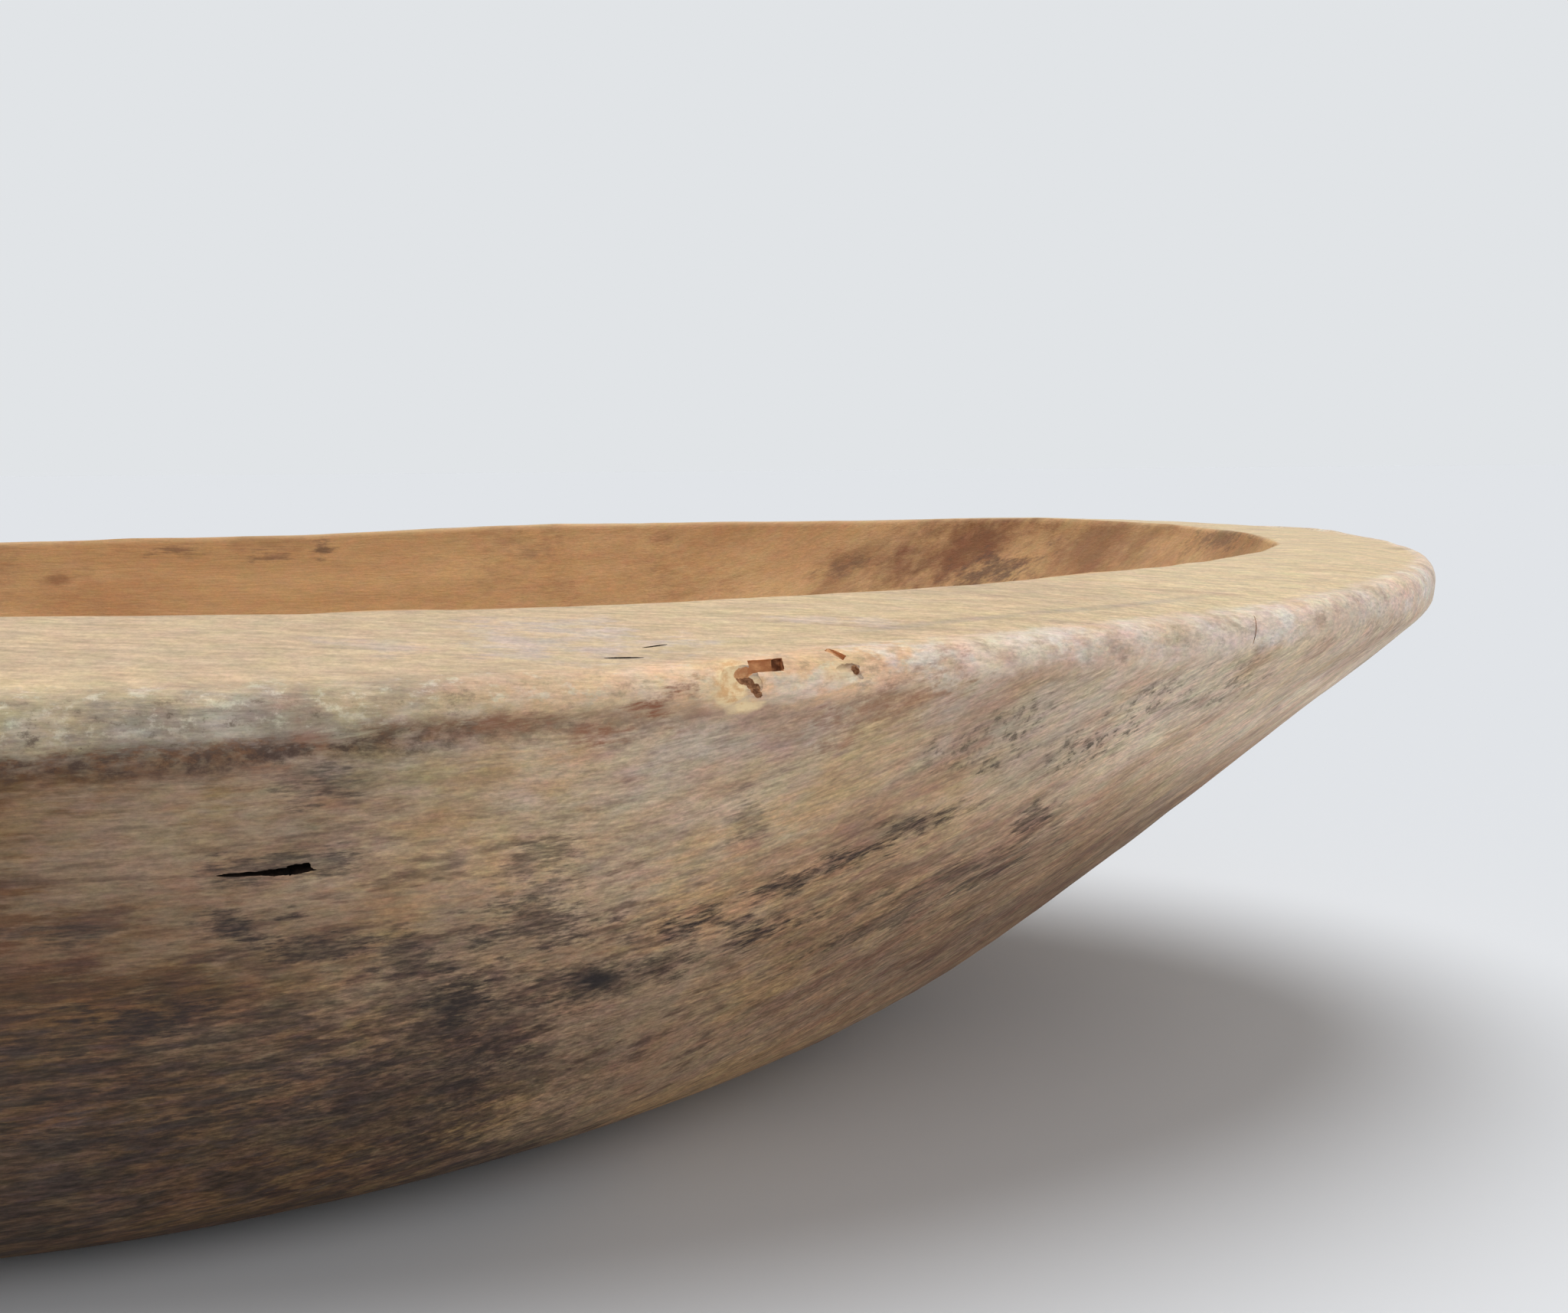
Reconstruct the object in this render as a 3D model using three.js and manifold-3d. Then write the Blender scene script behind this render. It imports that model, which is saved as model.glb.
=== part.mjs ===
// A dough bowl hewn from one block of wood: a boat-shaped outside on a flat foot, a broad rim with a
// rounded lip, and a hollow worked out of the solid. It has no other piece and no joint.
// Millimetres, +Z up, +X along the grain. The origin is on the table, under the middle of the bowl.
import * as THREE from "three";
import { LoftGeometry } from "three/addons/geometries/LoftGeometry.js";
import { mergeVertices } from "three/addons/utils/BufferGeometryUtils.js";
import Module from "manifold-3d";

// Overall size
const LENGTH = 590; // tip to tip, over the nose of the lip
const WIDTH = 280; // across the middle, over the nose of the lip
const RIM_HEIGHT = 104; // table to the inner edge of the rim at mid-length

// Outside: the foot outline is where the wall would meet the table without the bilge, the smooth turn
// from the flat of the foot into the wall
const FOOT_LENGTH = 346;
const FOOT_WIDTH = 228;
const FOOT_LEANNESS = 1.46; // 1 is an ellipse, more draws the outline in towards its ends
const BILGE_HEIGHT = 22; // how far up the wall the bilge reaches
const BELLY_SIDE = 0.88; // exponent of the wall's curve at the sides: 1 is straight, less swells outwards
const BELLY_END = 0.94; // and at the ends

// Rim
const RIM_SIDE = 24.2; // breadth of the rim along the sides
const RIM_END = 33; // breadth at the two ends, where the bowl is picked up
const RIM_FALL_SIDE = 6.9; // how far the rim's top falls from its inner to its outer edge, at the sides
const RIM_FALL_END = 0.5; // and at the ends
const END_SHARPNESS = 2.05; // how quickly a side measure gives way to an end measure

// The rim is out of true, as a hewn and seasoned bowl is.
const END_RISE = 1.8; // the tips stand this much above mid-length
const SHOULDER_RISE = 1.8; // extra swell of the rim between mid-length and the tips
const WIND = 7.2; // twist: one diagonal pair of quarters stands up to half of this higher

// Lip, the rounded outer edge of the rim
const LIP_ROUND = 3.5; // how far in from the nose the rounding of the top edge begins
const LIP_NOSE = 5.9; // depth of the nose, the widest line, below the rim's outer edge
const LIP_HEIGHT = 10.1; // depth of the lip's lower edge, where the wall begins
const LIP_TUCK = 1; // how far the lower edge tucks in behind the nose
const INNER_EDGE = 1.2; // rounding of the rim's inner edge

// Hollow
const FLOOR = 22; // thickness of the floor
const FLOOR_DISH = 2; // the middle of the floor is worn this much lower than its edge
const FLOOR_LEANNESS = 1.15; // of the floor's outline, as for the foot
const FLOOR_INSET_SIDE = 52; // floor outline inside the foot outline, at the sides
const FLOOR_INSET_END = 60; // and at the ends
const HOLLOW_SIDE = 0.3; // exponent of the hollow's wall: small is steep with a tight turn at the floor
const HOLLOW_END = 0.52; // at the ends the hollow slopes up like a shallow scoop

// Drying check: a narrow split along the grain in the front wall
const CHECK_AT = { angle: -72.9, share: 0.82 }; // degrees round the bowl, share of the wall's height
const CHECK_LENGTH = 11.5;
const CHECK_GAPE = 1; // width at its middle
const CHECK_EYE = 3.8; // length of the wider pocket at one end
const CHECK_EYE_GAPE = 1.9;
const CHECK_DEPTH = 4;

// Tear-outs: two places on the front lip where brittle wood has broken away
const TEAR_OUTS = [
  { angle: -59.2, below: 1.2, length: 5.6, height: 2, depth: 1.1, slope: 2 }, // channel along the grain
  { angle: -60.3, below: 4, length: 3.4, height: 4.2, depth: 1.6, slope: -30 }, // pit under its end
  { angle: -56.6, below: 1.6, length: 4.4, height: 1.3, depth: 1, slope: -35 }, // slanting nick
];

const AROUND = 96; // points in each section
const BILGE_STEPS = 6;
const WALL_STEPS = 8;
const UNDER_LIP_STEPS = 2; // from the lip's lower edge up to its nose
const OVER_LIP_STEPS = 4; // from the nose over to the rim's outer edge
const RIM_STEPS = 2;
const HOLLOW_STEPS = 11;
const FLOOR_STEPS = 3;

const WOOD = new THREE.MeshStandardMaterial({ color: 0xb9936b, roughness: 0.72, metalness: 0 });

const { lerp, degToRad } = THREE.MathUtils;

// Point of an oval at a parameter angle. A leanness of 1 is an ellipse, 2 a lens with pointed ends.
function oval(halfLength, halfWidth, leanness, angle) {
  const across = Math.sin(angle);
  return new THREE.Vector2(
    halfLength * Math.cos(angle),
    halfWidth * Math.sign(across) * Math.abs(across) ** leanness,
  );
}

// 0 along the sides, 1 at the tips.
const endness = (angle) => Math.abs(Math.cos(angle)) ** END_SHARPNESS;
const blend = (side, end, angle) => lerp(side, end, endness(angle));

// Plan of the bowl at the nose of the lip, moved inwards by an inset square to the outline.
function outline(angle, inset) {
  const nose = oval(LENGTH / 2, WIDTH / 2, 1, angle);
  const outward = new THREE.Vector2(nose.x / LENGTH ** 2, nose.y / WIDTH ** 2).normalize();
  return nose.addScaledVector(outward, -inset);
}

// Height of the rim's inner edge line over any point of the plan.
function rimHeight(plan) {
  const along = plan.x / (LENGTH / 2);
  const across = plan.y / (WIDTH / 2);
  const q = along * along;
  const sheer = END_RISE * q + SHOULDER_RISE * 4 * q * (1 - q);
  return RIM_HEIGHT + sheer + WIND * along * across;
}

const rimFall = (angle) => blend(RIM_FALL_SIDE, RIM_FALL_END, angle);
const rimBreadth = (angle) => blend(RIM_SIDE, RIM_END, angle);

// Point of the lip: inset from the nose in plan, and a depth below the rim's outer edge.
function lipPoint(angle, inset, below) {
  const plan = outline(angle, inset);
  const outerEdge = rimHeight(outline(angle, 0)) - rimFall(angle);
  return new THREE.Vector3(plan.x, plan.y, outerEdge - below);
}

// Inset of the lip's rounded face at a depth below the rim's outer edge.
function lipInset(below) {
  if (below < LIP_NOSE) {
    const up = 1 - below / LIP_NOSE;
    return LIP_ROUND * (1 - Math.sqrt(1 - up * up));
  }
  const down = (below - LIP_NOSE) / (LIP_HEIGHT - LIP_NOSE);
  return LIP_TUCK * down * down;
}

const lipFace = (angle, below) => lipPoint(angle, lipInset(below), below);

// Point of the outside wall: share 0 is the sharp foot outline, 1 the lower edge of the lip.
function wallPoint(angle, share) {
  const foot = oval(FOOT_LENGTH / 2, FOOT_WIDTH / 2, FOOT_LEANNESS, angle);
  const top = lipPoint(angle, LIP_TUCK, LIP_HEIGHT);
  const plan = foot.lerp(new THREE.Vector2(top.x, top.y), share ** blend(BELLY_SIDE, BELLY_END, angle));
  return new THREE.Vector3(plan.x, plan.y, top.z * share);
}

// Share of the wall's height at which the bilge runs into it.
const bilgeShare = (angle) => BILGE_HEIGHT / wallPoint(angle, 1).z;

// The bilge: turn 0 is the edge of the flat foot, 1 where it runs into the wall.
function bilgePoint(angle, turn) {
  const corner = wallPoint(angle, 0);
  const wall = wallPoint(angle, bilgeShare(angle));
  const inward = new THREE.Vector3(-wall.x, -wall.y, 0).normalize();
  const flat = corner.clone().addScaledVector(inward, corner.distanceTo(wall));
  return new THREE.QuadraticBezierCurve3(flat, corner, wall).getPoint(turn);
}

// Top of the rim: share 0 is its outer edge, 1 its inner edge.
function rimPoint(angle, share) {
  const outer = lipPoint(angle, LIP_ROUND, 0);
  const plan = outline(angle, rimBreadth(angle) - INNER_EDGE);
  const inner = new THREE.Vector3(plan.x, plan.y, rimHeight(plan));
  return outer.lerp(inner, share);
}

// Wall of the hollow: rise 1 is the rim's inner edge, 0 the edge of the floor.
function hollowPoint(angle, rise) {
  const halfLength = FOOT_LENGTH / 2 - FLOOR_INSET_END;
  const halfWidth = FOOT_WIDTH / 2 - FLOOR_INSET_SIDE;
  const floor = oval(halfLength, halfWidth, FLOOR_LEANNESS, angle);
  const edge = outline(angle, rimBreadth(angle));
  const plan = floor.lerp(edge, rise ** blend(HOLLOW_SIDE, HOLLOW_END, angle));
  return new THREE.Vector3(plan.x, plan.y, lerp(FLOOR, rimHeight(edge) - INNER_EDGE, rise));
}

// The floor of the hollow, worn a little lower in the middle: share 1 is its edge.
function floorPoint(angle, share) {
  const edge = hollowPoint(angle, 0);
  return new THREE.Vector3(edge.x * share, edge.y * share, FLOOR - FLOOR_DISH * (1 - share * share));
}

// One closed section: a point at each angle round the bowl.
function section(pointAt) {
  return Array.from({ length: AROUND }, (_, i) => pointAt((i / AROUND) * 2 * Math.PI));
}

// The sections run from the flat of the foot, up the outside, over the rim and down into the hollow.
function bowlSections() {
  const sections = [];
  const steps = (count, from, make) => {
    for (let i = from; i <= count; i++) sections.push(section((angle) => make(angle, i / count)));
  };
  steps(BILGE_STEPS, 0, bilgePoint);
  steps(WALL_STEPS, 1, (angle, t) => wallPoint(angle, lerp(bilgeShare(angle), 1, t)));
  steps(UNDER_LIP_STEPS, 1, (angle, t) => lipFace(angle, lerp(LIP_HEIGHT, LIP_NOSE, t)));
  steps(OVER_LIP_STEPS, 1, (angle, t) => lipFace(angle, LIP_NOSE * (1 - Math.sin((t * Math.PI) / 2))));
  steps(RIM_STEPS, 1, rimPoint);
  steps(HOLLOW_STEPS, 0, (angle, t) => hollowPoint(angle, (1 - t) ** 2));
  steps(FLOOR_STEPS, 1, (angle, t) => floorPoint(angle, 1 - t));
  return sections;
}

const wasm = await Module();
wasm.setup();

// A closed three.js geometry as a solid that can be cut.
function solidOf(geometry) {
  const bare = new THREE.BufferGeometry();
  bare.setAttribute("position", geometry.getAttribute("position"));
  bare.setIndex(geometry.getIndex());
  const merged = mergeVertices(bare);
  return new wasm.Manifold(
    new wasm.Mesh({
      numProp: 3,
      vertProperties: merged.getAttribute("position").array,
      triVerts: Uint32Array.from(merged.index.array),
    }),
  );
}

// A cut solid as a three.js geometry.
function geometryOf(solid) {
  const mesh = solid.getMesh();
  const geometry = new THREE.BufferGeometry();
  geometry.setAttribute("position", new THREE.BufferAttribute(mesh.vertProperties, 3));
  geometry.setIndex(new THREE.BufferAttribute(mesh.triVerts, 1));
  geometry.computeVertexNormals();
  return geometry;
}

// Frame on a surface: X runs round the bowl, Y up the surface and Z out of it.
function frameOn(pointAt, angle, height) {
  const step = 1e-3;
  const origin = pointAt(angle, height);
  const x = pointAt(angle + step, height).sub(origin).normalize();
  const y = pointAt(angle, height + step).sub(origin);
  const z = new THREE.Vector3().crossVectors(x, y).normalize();
  y.crossVectors(z, x);
  return new THREE.Matrix4().makeBasis(x, y, z).setPosition(origin);
}

// A spindle-shaped cutter, long along X, sunk into the surface that its frame lies on.
function spindle(length, gape, depth, frame, offset, slope) {
  const cutter = new THREE.SphereGeometry(0.5, 12, 8);
  cutter.scale(length, gape, depth * 2);
  cutter.rotateZ(degToRad(slope));
  cutter.translate(offset, 0, 0);
  return solidOf(cutter.applyMatrix4(frame));
}

// The drying check: a thin split with a wider pocket, its eye, at the end that points to the tip.
function dryingCheck() {
  const frame = frameOn(wallPoint, degToRad(CHECK_AT.angle), CHECK_AT.share);
  const split = spindle(CHECK_LENGTH, CHECK_GAPE, CHECK_DEPTH, frame, 0, 0);
  const eyeOffset = (CHECK_LENGTH - CHECK_EYE) / 2;
  return split.add(spindle(CHECK_EYE, CHECK_EYE_GAPE, CHECK_DEPTH, frame, eyeOffset, 0));
}

// A tear-out on the lip's rounded face, a depth below the rim's outer edge.
function tearOut({ angle, below, length, height, depth, slope }) {
  const upTheLip = (a, up) => lipFace(a, -up);
  const frame = frameOn(upTheLip, degToRad(angle), -below);
  return spindle(length, height, depth, frame, 0, slope);
}

function bowlGeometry() {
  const whole = solidOf(new LoftGeometry(bowlSections(), { capStart: true }));
  const damage = [dryingCheck(), ...TEAR_OUTS.map(tearOut)];
  return geometryOf(damage.reduce((left, cutter) => left.subtract(cutter), whole));
}

const bowl = new THREE.Mesh(bowlGeometry(), WOOD);
bowl.name = "bowl";

const dish = new THREE.Group();
dish.add(bowl);

export default dish;
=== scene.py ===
# A dough bowl hewn from one block of wood: a worn lip, torn places, a drying check and a warm hollow.
# Metres, +Z up, +X along the grain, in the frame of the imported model.
import math

import bmesh
import bpy
from mathutils import Matrix, Vector, noise


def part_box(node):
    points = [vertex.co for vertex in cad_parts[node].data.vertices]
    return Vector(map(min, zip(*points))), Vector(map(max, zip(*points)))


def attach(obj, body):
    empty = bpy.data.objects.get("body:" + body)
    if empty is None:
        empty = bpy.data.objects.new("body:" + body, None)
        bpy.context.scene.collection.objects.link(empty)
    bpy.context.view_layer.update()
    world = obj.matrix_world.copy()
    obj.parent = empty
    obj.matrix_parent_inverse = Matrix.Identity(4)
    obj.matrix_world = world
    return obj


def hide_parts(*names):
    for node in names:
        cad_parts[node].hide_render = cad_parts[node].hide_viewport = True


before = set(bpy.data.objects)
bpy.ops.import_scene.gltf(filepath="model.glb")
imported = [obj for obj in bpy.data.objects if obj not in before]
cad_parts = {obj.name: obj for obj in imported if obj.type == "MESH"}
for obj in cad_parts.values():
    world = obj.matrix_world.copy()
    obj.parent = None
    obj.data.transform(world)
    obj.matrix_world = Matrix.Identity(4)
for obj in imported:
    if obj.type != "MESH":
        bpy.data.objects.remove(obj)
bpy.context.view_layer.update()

MM = 0.001

# Sizes of the carving
_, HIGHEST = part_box("bowl")
HALF_LENGTH = HIGHEST.x
HALF_WIDTH = HIGHEST.y
RIM_HEIGHT = 104 * MM
FOOT_HALF_LENGTH = 173 * MM
FOOT_HALF_WIDTH = 114 * MM
FOOT_LEANNESS = 1.46
BILGE_HEIGHT = 22 * MM
BELLY_SIDE = 0.88
BELLY_END = 0.94
RIM_SIDE = 24.2 * MM
RIM_END = 33 * MM
RIM_FALL_SIDE = 6.9 * MM
RIM_FALL_END = 0.5 * MM
RIM_CROWN = 0.5 * MM
END_SHARPNESS = 2.05
END_RISE = 1.8 * MM
SHOULDER_RISE = 1.8 * MM
WIND = 7.2 * MM
LIP_ROUND = 3.5 * MM
LIP_NOSE = 5 * MM
LIP_NOSE_QUARTER = 3.6 * MM
LIP_NOSE_END = 4.4 * MM
LIP_HEIGHT = 8.6 * MM
LIP_HEIGHT_QUARTER = 5.4 * MM
LIP_HEIGHT_END = 10.1 * MM
LIP_TUCK = 1 * MM
QUARTERS = (0.18, 0.44)  # shares of the half length between which the lip gets lower
JOINT_SIDE = 1.5 * MM
JOINT_END = 4 * MM
JOINT_REACH = 0.5  # how far the lip's rounding keeps to the wall's slope
JOINT_LEAST_RISE = 0.3
NOSE_REACH = 0.9
INNER_EDGE = 1.6 * MM
FLOOR = 22 * MM
FLOOR_DISH = 2 * MM
FLOOR_LEANNESS = 1.15
FLOOR_HALF_LENGTH = FOOT_HALF_LENGTH - 60 * MM
FLOOR_HALF_WIDTH = FOOT_HALF_WIDTH - 52 * MM
HOLLOW_SIDE = 0.3
HOLLOW_END = 0.52

# The step cut under the lip, along the sides only
STEP_BELOW = 9.4 * MM
STEP_BELOW_QUARTER = 6.3 * MM
STEP_DEPTH = 0.9 * MM
STEP_EVENNESS = 0.75
STEP_REACH = 1.7 * MM
STEP_FADES = (0.42, 0.66)  # shares of the half length between which it runs out

# How far the eye and the adze were off: size, pace round the bowl, seed
OUTER_HEIGHT_WAVER = (1.4 * MM, 2.6, 4.3)
INNER_HEIGHT_WAVER = (1.4 * MM, 3.1, 1.4)
BREADTH_WAVER = (1.5 * MM, 3.4, 6.6)
NOSE_WAVER = (1.0 * MM, 5.0, 9.1)
NOSE_INSET = 0.5 * MM
STEP_WAVER = (1.6 * MM, 7.0, 2.2)
STEP_DEPTH_WAVER = (1, 4.0, 7.7)

# Tool marks: depth, spacing, stretch along each axis
ADZE = (1.6 * MM, 34 * MM, (2.2, 1, 1))
GOUGE = (1.5 * MM, 17 * MM, (2.6, 1, 1))
WEAR = (0.5 * MM, 8 * MM, (2, 1, 1))
FOOT_SPARED = 4 * MM
ADZE_FULL = 24 * MM
WEAR_FULL = 20 * MM

# Fineness of the mesh
AROUND = 400
BILGE_STEPS = 12
WALL_STEPS = 34
UNDER_LIP_STEPS = 9
OVER_LIP_STEPS = 8
RIM_STEPS = 8
EDGE_STEPS = 3
HOLLOW_STEPS = 34
FLOOR_STEPS = 7
WALL_CROWDING = 1.5
HOLLOW_CROWDING = 2
FLOOR_REACH = 0.95
FOOT_RINGS = (0.66, 0.4)
BALL_DETAIL = 5
CUBE_CUTS = 14
SMOOTH_BELOW = math.radians(38)


def lerp(a, b, t):
    return a + (b - a) * t


def smooth(low, high, value):
    t = min(max((value - low) / (high - low), 0.0), 1.0)
    return t * t * (3 - 2 * t)


def oval(half_length, half_width, leanness, angle):
    """Point of an oval in plan. A leanness of 1 is an ellipse, 2 a lens with pointed ends."""
    across = math.sin(angle)
    return Vector((half_length * math.cos(angle), half_width * math.copysign(abs(across) ** leanness, across)))


def blend(side, end, angle):
    """A measure that goes from its value at the sides to its value at the two ends."""
    return lerp(side, end, abs(math.cos(angle)) ** END_SHARPNESS)


def waver(angle, size, pace, seed):
    """A hand-made line's unevenness round the bowl, up to about half of its size each way."""
    return size * noise.noise(Vector((pace * math.cos(angle), pace * math.sin(angle), seed)))


def outline(angle, inset):
    """Plan of the bowl at the nose of the lip, moved inwards square to itself."""
    nose = oval(HALF_LENGTH, HALF_WIDTH, 1, angle)
    outward = Vector((nose.x / HALF_LENGTH**2, nose.y / HALF_WIDTH**2)).normalized()
    return nose - outward * inset


def rim_height(plan):
    """Height of the rim's inner edge line over a point of the plan."""
    along = plan.x / HALF_LENGTH
    across = plan.y / HALF_WIDTH
    q = along * along
    return RIM_HEIGHT + END_RISE * q + SHOULDER_RISE * 4 * q * (1 - q) + WIND * along * across


def edge_height(angle):
    """Height of the rim's outer edge."""
    fall = blend(RIM_FALL_SIDE, RIM_FALL_END, angle)
    return rim_height(outline(angle, 0)) - fall + waver(angle, *OUTER_HEIGHT_WAVER)


def to_quarter(angle):
    """0 along the middle of the sides, 1 from the quarters to the ends."""
    return smooth(*QUARTERS, abs(math.cos(angle)))


def nose_depth(angle):
    """Depth of the lip's widest line below the rim's outer edge."""
    return blend(lerp(LIP_NOSE, LIP_NOSE_QUARTER, to_quarter(angle)), LIP_NOSE_END, angle)


def lip_height(angle):
    """Depth of the lip's lower edge below the rim's outer edge."""
    return blend(lerp(LIP_HEIGHT, LIP_HEIGHT_QUARTER, to_quarter(angle)), LIP_HEIGHT_END, angle)


def step_depth(angle):
    """Depth of the step under the lip below the rim's outer edge."""
    return lerp(STEP_BELOW, STEP_BELOW_QUARTER, to_quarter(angle)) + waver(angle, *STEP_WAVER)


def lip_point(angle, inset, below):
    """A point of the lip, so far in from its nose and so far below the rim's outer edge."""
    plan = outline(angle, inset + NOSE_INSET + waver(angle, *NOSE_WAVER))
    return Vector((plan.x, plan.y, edge_height(angle) - below))


def over_lip(angle, t):
    """From the nose, t 0, over the rounding to the rim's outer edge, t 1."""
    turn = t * math.pi / 2
    return lip_point(angle, LIP_ROUND * (1 - math.cos(turn)), nose_depth(angle) * (1 - math.sin(turn)))


def straight_wall(angle, share):
    """The outside wall: share 0 is the sharp foot outline, 1 the lower edge of the lip."""
    foot = oval(FOOT_HALF_LENGTH, FOOT_HALF_WIDTH, FOOT_LEANNESS, angle)
    top = lip_point(angle, LIP_TUCK, lip_height(angle))
    plan = foot.lerp(top.xy, share ** blend(BELLY_SIDE, BELLY_END, angle))
    return Vector((plan.x, plan.y, top.z * share))


def dented(angle, point):
    """Sinks the step that was cut under the lip: along the sides, deeper in places, and not at the ends."""
    depth = (edge_height(angle) - point.z - step_depth(angle)) / STEP_REACH
    sides = 1 - smooth(*STEP_FADES, abs(math.cos(angle)))
    uneven = STEP_EVENNESS + waver(angle, *STEP_DEPTH_WAVER)
    sunk = STEP_DEPTH * sides * uneven * math.exp(-depth * depth)
    outward = Vector((point.x / HALF_LENGTH**2, point.y / HALF_WIDTH**2, 0)).normalized()
    return point - outward * sunk


def joint_share(angle):
    """Share of the wall's height at which the lip's rounding runs into it."""
    top = edge_height(angle) - lip_height(angle)
    return 1 - blend(JOINT_SIDE, JOINT_END, angle) / top


def under_lip(angle, t):
    """From the wall, t 0, round to the nose of the lip, t 1."""
    nudge = 0.01
    share = joint_share(angle)
    start = straight_wall(angle, share)
    rise = (start - straight_wall(angle, share - nudge)).normalized()
    nose = over_lip(angle, 0)
    reach = (nose.z - start.z) * JOINT_REACH
    leave = start + rise * (reach / max(rise.z, JOINT_LEAST_RISE))
    arrive = nose - Vector((0, 0, reach * NOSE_REACH))
    u = 1 - t
    point = start * u**3 + leave * 3 * u * u * t + arrive * 3 * u * t * t + nose * t**3
    return dented(angle, point)


def wall_point(angle, share):
    """The outside wall with the step sunk into it."""
    return dented(angle, straight_wall(angle, share))


def bilge_share(angle):
    """Share of the wall's height at which the turn from the foot ends."""
    return BILGE_HEIGHT / wall_point(angle, 1).z


def bilge_point(angle, turn):
    """The smooth turn from the flat of the foot, 0, into the wall, 1."""
    corner = wall_point(angle, 0)
    wall = wall_point(angle, bilge_share(angle))
    flat = corner - Vector((wall.x, wall.y, 0)).normalized() * (corner - wall).length
    return flat * (1 - turn) ** 2 + corner * 2 * turn * (1 - turn) + wall * turn**2


def wall_above_bilge(angle, t):
    """The wall from the turn, t 0, to the lip's rounding, t 1, with the rings closer towards the lip."""
    crowded = 1 - (1 - t) ** WALL_CROWDING
    return wall_point(angle, lerp(bilge_share(angle), joint_share(angle), crowded))


def rim_breadth(angle):
    return blend(RIM_SIDE, RIM_END, angle) + waver(angle, *BREADTH_WAVER)


def inner_edge(angle, inset):
    """The rim's inner edge line, so far in from the nose of the lip."""
    plan = outline(angle, inset)
    return Vector((plan.x, plan.y, rim_height(plan) + waver(angle, *INNER_HEIGHT_WAVER)))


def rim_point(angle, share):
    """Top of the rim: share 0 is its outer edge, 1 its inner edge."""
    outer = lip_point(angle, LIP_ROUND, 0)
    crown = RIM_CROWN * math.sin(math.pi * share)
    return outer.lerp(inner_edge(angle, rim_breadth(angle) - INNER_EDGE), share) + Vector((0, 0, crown))


def edge_point(angle, t):
    """The rounding of the rim's inner edge, from the rim's top, 0, to the hollow's wall, 1."""
    breadth = rim_breadth(angle)
    top = inner_edge(angle, breadth - INNER_EDGE)
    corner = inner_edge(angle, breadth)
    side = hollow_point(angle, 1)
    return top * (1 - t) ** 2 + corner * 2 * t * (1 - t) + side * t**2


def hollow_point(angle, rise):
    """Wall of the hollow: rise 1 is the rim's inner edge, 0 the edge of the floor."""
    floor = oval(FLOOR_HALF_LENGTH, FLOOR_HALF_WIDTH, FLOOR_LEANNESS, angle)
    edge = inner_edge(angle, rim_breadth(angle))
    plan = floor.lerp(edge.xy, rise ** blend(HOLLOW_SIDE, HOLLOW_END, angle))
    return Vector((plan.x, plan.y, lerp(FLOOR, edge.z - INNER_EDGE, rise)))


def floor_point(angle, share):
    """The floor of the hollow, worn a little lower in the middle: share 1 is its edge."""
    edge = hollow_point(angle, 0)
    return Vector((edge.x * share, edge.y * share, FLOOR - FLOOR_DISH * (1 - share * share)))


def ring_plan():
    """The rings of the block in order, up the outside, over the rim and down into the hollow."""
    rings = []

    def steps(zone, count, first, place):
        rings.extend((zone, place, i / count) for i in range(first, count + 1))

    steps("outside", BILGE_STEPS, 0, bilge_point)
    steps("outside", WALL_STEPS, 1, wall_above_bilge)
    steps("outside", UNDER_LIP_STEPS, 1, under_lip)
    steps("outside", OVER_LIP_STEPS, 1, over_lip)
    steps("rim", RIM_STEPS, 1, rim_point)
    steps("hollow", EDGE_STEPS, 1, edge_point)
    steps("hollow", HOLLOW_STEPS, 1, lambda angle, t: hollow_point(angle, (1 - t) ** HOLLOW_CROWDING))
    steps("hollow", FLOOR_STEPS, 1, lambda angle, t: floor_point(angle, 1 - FLOOR_REACH * t))
    return rings


def place_ring(bowl, zone, place, share):
    """Puts the selected ring where the plan says, and notes its zone and how far below the rim it lies."""
    block = bmesh.from_edit_mesh(bowl.data)
    angle = block.verts.layers.float["angle"]
    below = block.verts.layers.float["below"]
    under = block.verts.layers.float["under_step"]
    hollow = block.verts.layers.float["hollow"]
    hewn = block.verts.layers.float["hewn"]
    for v in block.verts:
        if v.select:
            v.co = place(v[angle], share)
            v[hewn] = 1.0
            v[below] = edge_height(v[angle]) - v.co.z if zone == "outside" else -LIP_ROUND
            v[under] = v[below] - step_depth(v[angle])
            v[hollow] = 1.0 if zone == "hollow" else 0.0
    bmesh.update_edit_mesh(bowl.data)


def carve_block():
    """The bowl, raised ring by ring from the edge of its flat foot."""
    bpy.ops.object.select_all(action="DESELECT")
    bpy.ops.mesh.primitive_circle_add(vertices=AROUND, radius=HALF_WIDTH)
    bowl = bpy.context.object
    bowl.name = "carved_bowl"
    bpy.ops.object.mode_set(mode="EDIT")
    bpy.ops.mesh.select_all(action="SELECT")
    block = bmesh.from_edit_mesh(bowl.data)
    for layer in ("angle", "below", "under_step", "hollow", "hewn"):
        block.verts.layers.float.new(layer)
    angle = block.verts.layers.float["angle"]
    for v in block.verts:
        v[angle] = math.atan2(v.co.y, v.co.x)
    for i, (zone, place, share) in enumerate(ring_plan()):
        if i:
            bpy.ops.mesh.extrude_region()
        place_ring(bowl, zone, place, share)
    bpy.ops.mesh.merge(type="CENTER")
    close_foot()
    bpy.ops.mesh.select_all(action="SELECT")
    bpy.ops.mesh.normals_make_consistent(inside=False)
    bpy.ops.object.mode_set(mode="OBJECT")
    return bowl


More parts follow.
